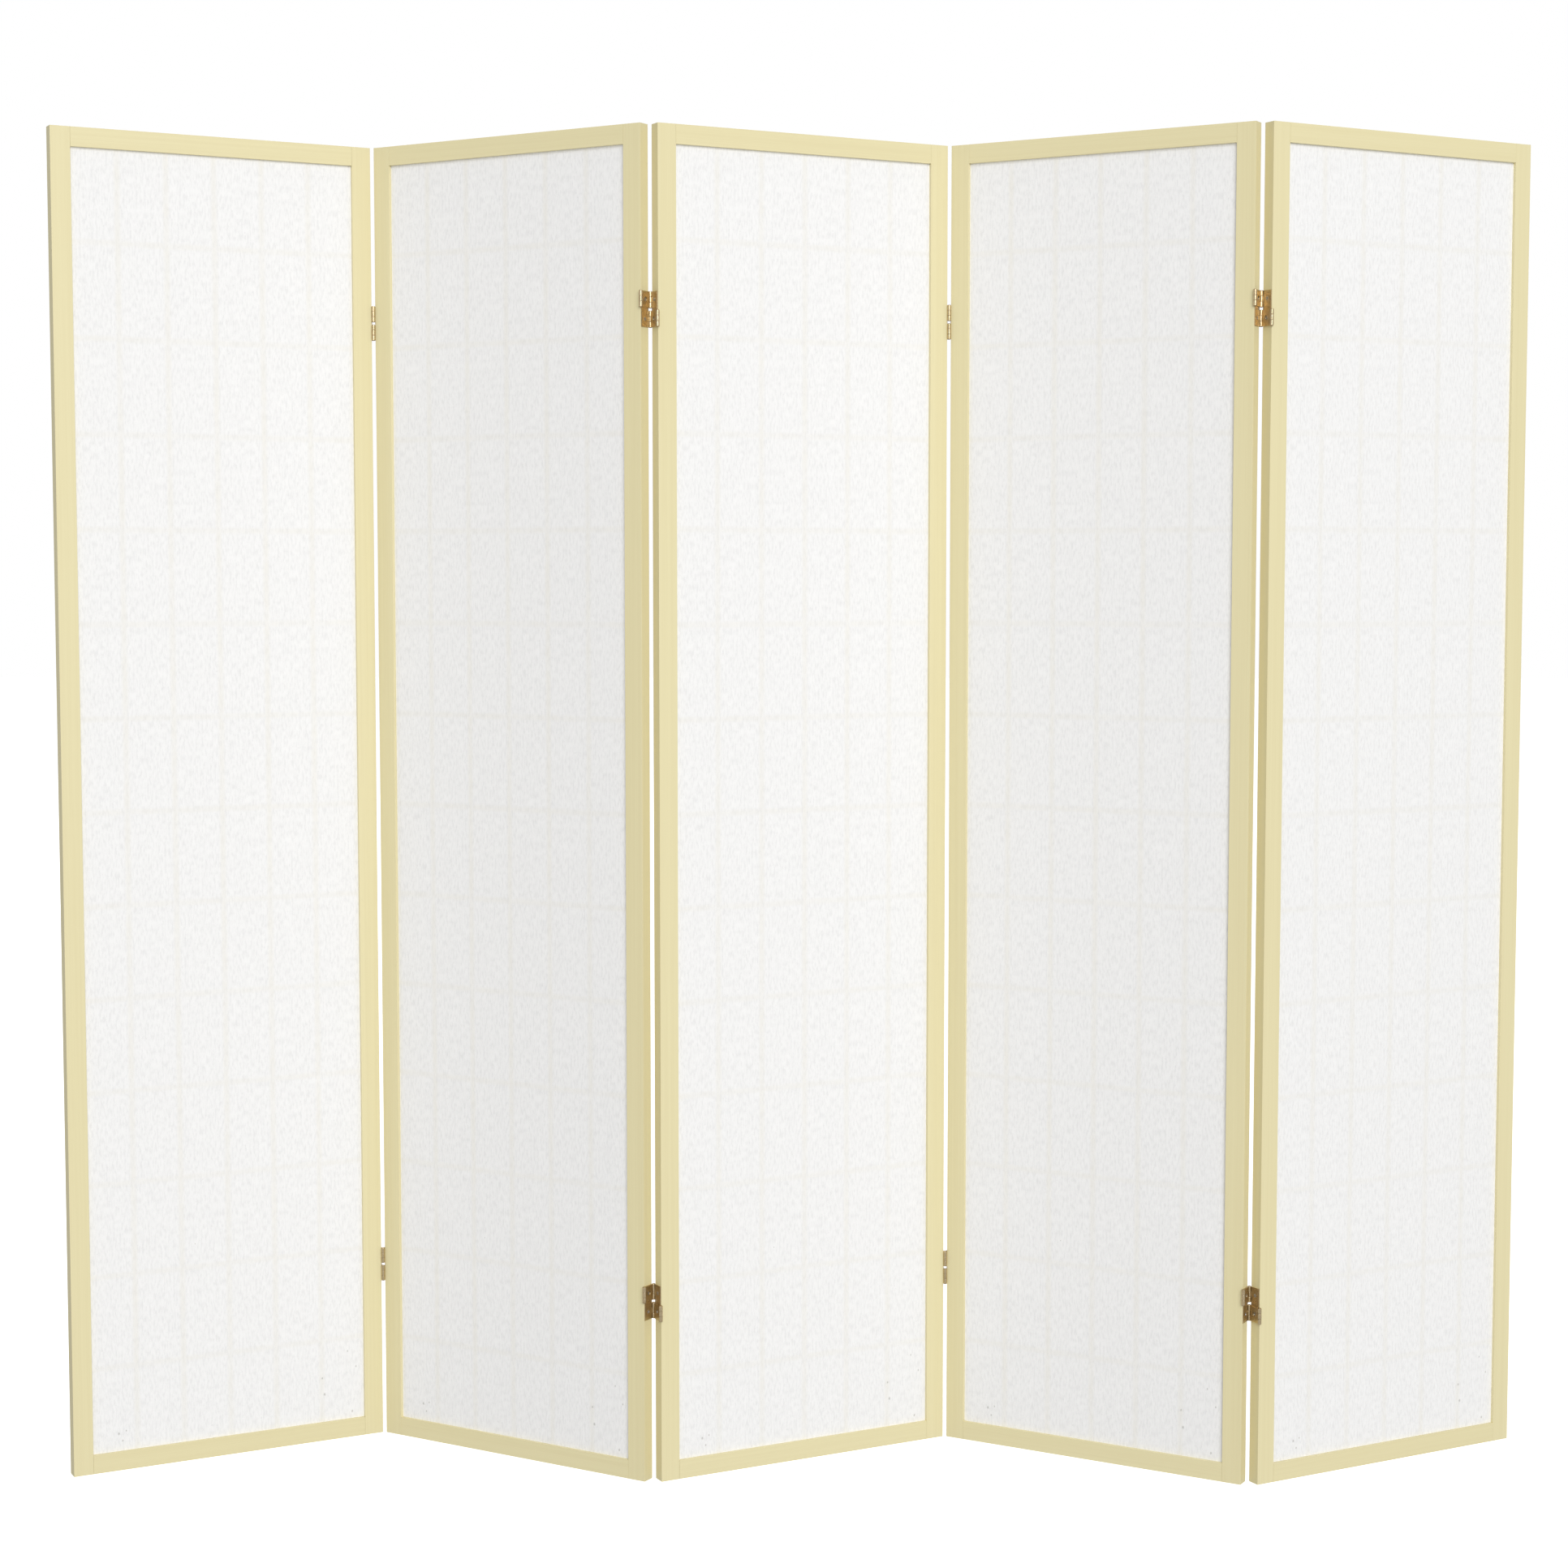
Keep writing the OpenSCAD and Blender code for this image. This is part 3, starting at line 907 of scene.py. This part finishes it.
@dataclass(frozen=True)
class Hinges:
    """Double-acting hinges of one panel: leaves, links, pins and screws.

    Hinge parts have x out from the panel's edge, y through the panel, and z
    from the hinge's middle.
    """

    sizes: PanelSizes
    from_floor: float = 0.2398
    from_top: float = 0.2363
    knuckle: float = 0.007
    radius: float = 0.0026
    gap: float = 0.0002
    barrel_gap: float = 0.004
    sheet: float = 0.001
    leaf_gap: float = 0.0002
    barrel_sink: float = 0.0006
    clear: float = 0.0003
    pin: float = 0.0015
    pin_head: float = 0.0023
    pin_dome: float = 0.0006
    screw_offset: float = 0.0125
    screw_head: float = 0.0027
    screw_shank: float = 0.0015
    screw_length: float = 0.014
    screw_point: float = 0.003
    fit: float = 0.00005
    access: float = 0.0033
    ease: float = 0.00018
    knuckle_ease: float = 0.0004
    overlap: float = 0.0006  # how far a knuckle's straight lead and its plate share the sheet
    leaf_turn: float = 330.0  # how far a leaf's knuckle is rolled, in degrees
    link_turn: float = 340.0  # the same for a link, from its plate
    recess_arm: float = 0.0016
    recess_half: float = 0.00036
    recess_depth: float = 0.0007
    dome: float = 0.00012
    chamfer: float = 0.00008

    @property
    def axis_out(self) -> float:
        """Distance of the pins' axes from the edge of the panel."""
        return 1.5 * self.sheet + self.leaf_gap

    @property
    def proud(self) -> float:
        """Distance of the pins' axes out from the faces of the frame."""
        return self.radius - self.barrel_sink

    @property
    def half_height(self) -> float:
        """Half of the hinge's height."""
        return 3 * self.knuckle + self.barrel_gap / 2

    def base(self, upper: bool) -> float:
        """Lower end of the upper or the lower barrel."""
        return self.barrel_gap / 2 if upper else -self.half_height

    def turned_back(self, shell: Shell, front: bool) -> Shell:
        """A part made for the front, mirrored to the back unless front is set."""
        if front:
            return shell
        points = shell.points * np.array([1, -1, 1]) + np.array([0, self.sizes.thickness, 0])
        return Shell(points, shell.faces, points)

    def curl(self, lead: Array, start: float, sweep: float) -> Array:
        """A path that runs along lead and then round the front pin.

        Round the pin it is centre + r (cos t, sin t), with r to the middle of
        the sheet and t from start over sweep degrees.
        """
        t = np.radians(np.linspace(start, start + sweep, 28))[:, None]
        centre = np.array([self.axis_out, -self.proud])
        middle = self.radius - self.sheet / 2
        return np.concatenate([lead, centre + middle * np.concatenate([np.cos(t), np.sin(t)], 1)])

    def knuckle_strip(self, path: Array, z: float) -> Shell:
        """One rolled knuckle along a path, its lower end half a gap above z."""
        low, high = z + self.gap / 2, z + self.knuckle - self.gap / 2
        return swept_sheet(path, self.sheet, low, high, self.knuckle_ease)

    def leaf(self, upper_in_front: bool) -> Shell:
        """A leaf: a plate with two countersunk holes and four rolled knuckles."""
        back = math.sqrt((self.radius + self.clear) ** 2 - (self.axis_out - self.sheet) ** 2) - self.proud
        thick, reach = self.sizes.thickness, self.half_height
        hole = np.array([thick / 2, self.screw_offset])
        radii = (self.screw_shank + self.fit, self.screw_head + self.fit)
        low, high = np.array([back, 0.0]), np.array([thick - back, reach])
        half = pierced_plate(low, high, hole, radii, (0.0, self.sheet), self.ease, True)
        other = Shell(half.points * np.array([1, 1, -1]), half.faces, half.own)
        middle, roll = self.sheet / 2, self.radius - self.sheet / 2
        meet = math.acos((self.axis_out - middle) / roll)
        entry = roll * math.sin(meet) - self.proud
        lead = np.column_stack([np.full(4, middle), np.linspace(back + self.overlap, entry + self.overlap / 3, 4)])
        path = self.curl(lead, 180 - math.degrees(meet), self.leaf_turn)
        parts = [half, other]
        for upper in (True, False):
            for count in (0, 2):
                z = self.base(upper) + count * self.knuckle
                parts.append(self.turned_back(self.knuckle_strip(path, z), upper == upper_in_front))
        return Shell.joined(parts)

    def link(self, upper: bool) -> Shell:
        """A link: a plate with one access hole, rolled round a pin at each side."""
        thick, back = self.sizes.thickness, self.radius + self.clear - self.proud
        base, tall = self.base(upper), 3 * self.knuckle
        span = (self.axis_out - self.sheet / 2, self.axis_out + self.sheet / 2)
        low, high = np.array([back, base]), np.array([thick - back, base + tall])
        hole = np.array([thick / 2, base + tall / 2])
        parts = [pierced_plate(low, high, hole, (self.access, self.access), span, self.ease, False)]
        entry = back + self.overlap
        lean = math.degrees(math.acos((self.radius - self.sheet / 2) / (entry + self.proud)))
        lead = np.array([[self.axis_out, entry + self.overlap], [self.axis_out, entry]])
        path = self.curl(lead, 90 + lean, self.link_turn - lean)
        z = base + self.knuckle
        for front in (True, False):
            parts.append(self.turned_back(self.knuckle_strip(path, z), front))
        return Shell.joined(parts)

    def pins(self, upper_in_front: bool) -> Shell:
        """A leaf's two pins, each turned in one piece with a cap of a sphere at both ends."""
        t = np.linspace(0, 1, 6)
        cap = np.stack([self.pin_head * np.sqrt(1 - t**2), self.pin_dome * t], -1)
        cap[-1, 0] = self.pin_head / 40
        parts = []
        for upper in (True, False):
            low = self.base(upper) + self.gap / 2
            high = low + 3 * self.knuckle - self.gap
            below = cap[::-1] * np.array([1, -1]) + np.array([0, low])
            above = cap + np.array([0, high])
            rings = lathed(np.concatenate([below, [[self.pin, low], [self.pin, high]], above]))
            rings = rings + np.array([self.axis_out, -self.proud, 0])
            parts.append(self.turned_back(Shell.lofted(rings, rings), upper == upper_in_front))
        return Shell.joined(parts)

    def screws(self) -> Shell:
        """A leaf's two countersunk screws, with a cross recess that narrows downwards.

        The recess has twelve corners, and its edges are cut into quarters. The
        round rings have as many points, so that each lies outside its own.
        """
        arm, narrow = self.recess_arm, self.recess_half
        corner = np.array([[arm, -narrow], [arm, narrow], [narrow, narrow]])
        quarter = np.array([[0, 1], [-1, 0]])
        corners = np.concatenate([corner @ np.linalg.matrix_power(quarter, k) for k in range(4)])
        t = np.linspace(0, 1, 5)[:-1, None]
        cross = np.concatenate([a + t * (b - a) for a, b in zip(corners, np.roll(corners, -1, 0))])
        around = len(cross)
        angles = np.radians(np.arange(around) * 360 / around - 15)
        circle = np.stack([np.cos(angles), np.sin(angles)], -1)
        head, shank, length = self.screw_head, self.screw_shank, self.screw_length
        rings = [
            (shank / 10 * circle, -length),
            (shank * circle, self.screw_point - length),
            (shank * circle, 0),
            (head * circle, self.sheet - self.chamfer),
            (0.97 * head * circle, self.sheet),
            (0.7 * head * circle, self.sheet + self.dome),
            (cross, self.sheet + self.dome),
            (0.72 * cross, self.sheet - self.recess_depth),
        ]
        spun = np.stack([np.column_stack([plan, np.full(around, z)]) for plan, z in rings])
        parts = []
        for side, twist in ((1, 0.35), (-1, 1.1)):
            c, s = math.cos(twist), math.sin(twist)
            y, z = spun[..., 0] * c - spun[..., 1] * s, spun[..., 0] * s + spun[..., 1] * c
            placed = np.stack([spun[..., 2], y + self.sizes.thickness / 2, z + side * self.screw_offset], -1)
            parts.append(Shell.lofted(placed, placed))
        return Shell.joined(parts)

    def at_edge(self, shell: Shell, side: Side) -> list[Shell]:
        """A hinge part at both of an edge's hinges, in the panel's own coordinates."""
        out = np.array([-1 if side is Side.LEFT else 1, 1, 1])
        edge = 0 if side is Side.LEFT else self.sizes.width
        heights = self.from_floor, self.sizes.height - self.from_top
        return [Shell(shell.points * out + np.array([edge, 0, z]), shell.faces, shell.own) for z in heights]

    def build(
        self,
        place: Place,
        number: int,
        brass: bpy.types.Material,
        pin: bpy.types.Material,
        screw: bpy.types.Material,
    ) -> None:
        """Makes all hinge parts that ride with a panel.

        A right edge's leaf has its upper barrel in front, a left edge's its
        lower one. Even panels carry the upper links and odd ones the lower.
        """
        sides = [side for side, there in ((Side.LEFT, number > 1), (Side.RIGHT, number < PANELS)) if there]
        made: dict[str, tuple[list[Shell], bpy.types.Material, Slot]] = {}
        for side in sides:
            leaf = self.at_edge(self.leaf(side is Side.RIGHT), side)
            made[f"{side.value}_leaves"] = (leaf, brass, Slot.HINGE)
        links = [part for side in sides for part in self.at_edge(self.link(number % 2 == 0), side)]
        pins = [part for side in sides for part in self.at_edge(self.pins(side is Side.RIGHT), side)]
        screws = [part for side in sides for part in self.at_edge(self.screws(), side)]
        made["hinge_links"] = (links, brass, Slot.HINGE)
        made["hinge_pins"] = (pins, pin, Slot.PIN)
        made["hinge_screws"] = (screws, screw, Slot.SCREW)
        for name, (parts, material, slot) in made.items():
            node = f"{name}_{number}"
            make_piece(f"{name}_of_panel_{number}", Shell.joined(parts), place, number, material, (node,))


# ---- Floor, light and camera ----


@dataclass(frozen=True)
class Lamp:
    """Square soft lamp, aimed at the middle of the screen.

    Azimuth 0 is straight in front and 90 to the right, in degrees. Brightness
    is what the lamp gives to a white surface square to it at the middle.
    """

    name: str
    brightness: float
    azimuth: float
    elevation: float
    distance: float = 12.0
    size: float = 6.0

    def build(self) -> None:
        """Hangs the lamp; its power is brightness times (pi distance) squared."""
        data = bpy.data.lights.new(self.name, "AREA")
        data.energy, data.size = self.brightness * (math.pi * self.distance) ** 2, self.size
        turn, rise = math.radians(self.azimuth), math.radians(self.elevation)
        towards = Vector((math.sin(turn) * math.cos(rise), -math.cos(turn) * math.cos(rise), math.sin(rise)))
        lamp = bpy.data.objects.new(self.name, data)
        lamp.location = Vector((0, 0, AIM_HEIGHT)) + self.distance * towards
        lamp.rotation_euler = (-towards).to_track_quat("-Z", "Y").to_euler()
        bpy.context.scene.collection.objects.link(lamp)


@dataclass(frozen=True)
class Studio:
    """Pale floor, white surround and soft lamps."""

    floor_half: float = 30.0
    surround: float = 1.0
    ambient: float = 0.5
    floor_colour: Colour = (0.93, 0.93, 0.93)
    floor_glow: float = 0.6
    lamps: tuple[Lamp, ...] = (
        Lamp("key_lamp", 0.591, 16, 24, 16, 9),
        Lamp("front_lamp", 0.05, 5, 3, 16, 1.8),
        Lamp("back_lamp", 0.25, 200, 40),
    )

    def floor(self) -> None:
        """Lays the floor at z = 0, glowing a little and giving the screen no light back."""
        h = self.floor_half
        mesh = bpy.data.meshes.new("floor")
        mesh.from_pydata([(-h, -h, 0), (h, -h, 0), (h, h, 0), (-h, h, 0)], [], [(0, 1, 2, 3)])
        graph = Graph("pale_floor")
        body = {
            "Base Color": (*self.floor_colour, 1),
            "Roughness": 0.9,
            "Specular IOR Level": 0.1,
            "Emission Color": (1, 1, 1, 1),
            "Emission Strength": self.floor_glow,
        }
        mesh.materials.append(graph.finish(graph.add("BsdfPrincipled", body).outputs[0]))
        floor = bpy.data.objects.new("floor", mesh)
        floor.visible_diffuse = floor.visible_glossy = floor.visible_transmission = False
        bpy.context.scene.collection.objects.link(floor)

    def world(self) -> None:
        """Surrounds the scene with white, which lights it at ambient strength."""
        world = bpy.data.worlds.new("surround")
        bpy.context.scene.world = world
        world.use_nodes = True
        tree = world.node_tree
        tree.nodes.clear()
        seen, lit = (tree.nodes.new("ShaderNodeBackground") for _ in range(2))
        seen.inputs["Strength"].default_value = self.surround
        lit.inputs["Strength"].default_value = self.ambient
        for background in (seen, lit):
            background.inputs["Color"].default_value = (1, 1, 1, 1)
        path = tree.nodes.new("ShaderNodeLightPath")
        mix = tree.nodes.new("ShaderNodeMixShader")
        out = tree.nodes.new("ShaderNodeOutputWorld")
        tree.links.new(path.outputs["Is Camera Ray"], mix.inputs[0])
        tree.links.new(lit.outputs[0], mix.inputs[1])
        tree.links.new(seen.outputs[0], mix.inputs[2])
        tree.links.new(mix.outputs[0], out.inputs["Surface"])

    def build(self) -> None:
        """Sets up the floor, the surround and the lamps."""
        self.floor()
        self.world()
        for lamp in self.lamps:
            lamp.build()


@dataclass(frozen=True)
class Viewpoint:
    """Camera in front of the screen, a little above its middle."""

    place: Colour = (0.07128, -3.82143, 1.19748)
    pitch_down: float = 4.1516
    turned_left: float = 1.4516
    lens: float = 65.618
    sensor: float = 36.0

    def build(self) -> None:
        """Sets up the camera."""
        data = bpy.data.cameras.new("viewpoint")
        data.lens, data.sensor_width = self.lens, self.sensor
        camera = bpy.data.objects.new("viewpoint", data)
        camera.location = self.place
        camera.rotation_euler = Euler((math.radians(90 - self.pitch_down), 0, math.radians(self.turned_left)))
        bpy.context.scene.collection.objects.link(camera)
        bpy.context.scene.camera = camera


def main() -> None:
    """Builds the screen piece by piece, then its surroundings."""
    logging.basicConfig(level=logging.INFO, format="%(name)s: %(message)s")
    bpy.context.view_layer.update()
    sizes = PanelSizes()
    frame_wood = WoodFinish("pale_frame_wood", (0.80, 0.725, 0.44), (0.73, 0.645, 0.37), 0.5).make()
    bar_wood = WoodFinish("pale_bar_wood", (0.80, 0.715, 0.49), (0.71, 0.61, 0.39), 0.7, 0.55, 0.0).make()
    cells = sizes.across / sizes.cells_across, sizes.up / sizes.cells_up
    paper = PaperFinish("fibrous_paper", *cells).make((sizes.left, 0, sizes.bottom))
    brass = MetalFinish("golden_brass", (0.66, 0.53, 0.33), (0.59, 0.47, 0.28), 0.3).make()
    dark_brass = MetalFinish("dark_brass", (0.42, 0.30, 0.16), (0.30, 0.21, 0.11), 0.35).make()
    steel = MetalFinish("dull_steel", (0.56, 0.55, 0.53), (0.44, 0.43, 0.42), 0.38).make()
    for number in range(1, PANELS + 1):
        place = Place.of_panel(number, sizes)
        log.info("panel %d stands at %s, turned %.2f degrees", number, place.corner, math.degrees(place.heading))
        WoodenFrame(sizes).build(place, number, frame_wood)
        bars = Lattice(sizes).build(place, number, bar_wood)
        PaperSheet(sizes).build(place, number, paper, bars)
        Hinges(sizes).build(place, number, brass, dark_brass, steel)
    Studio().build()
    Viewpoint().build()
    bpy.context.scene.view_settings.view_transform = "Standard"


if __name__ == "__main__":
    main()
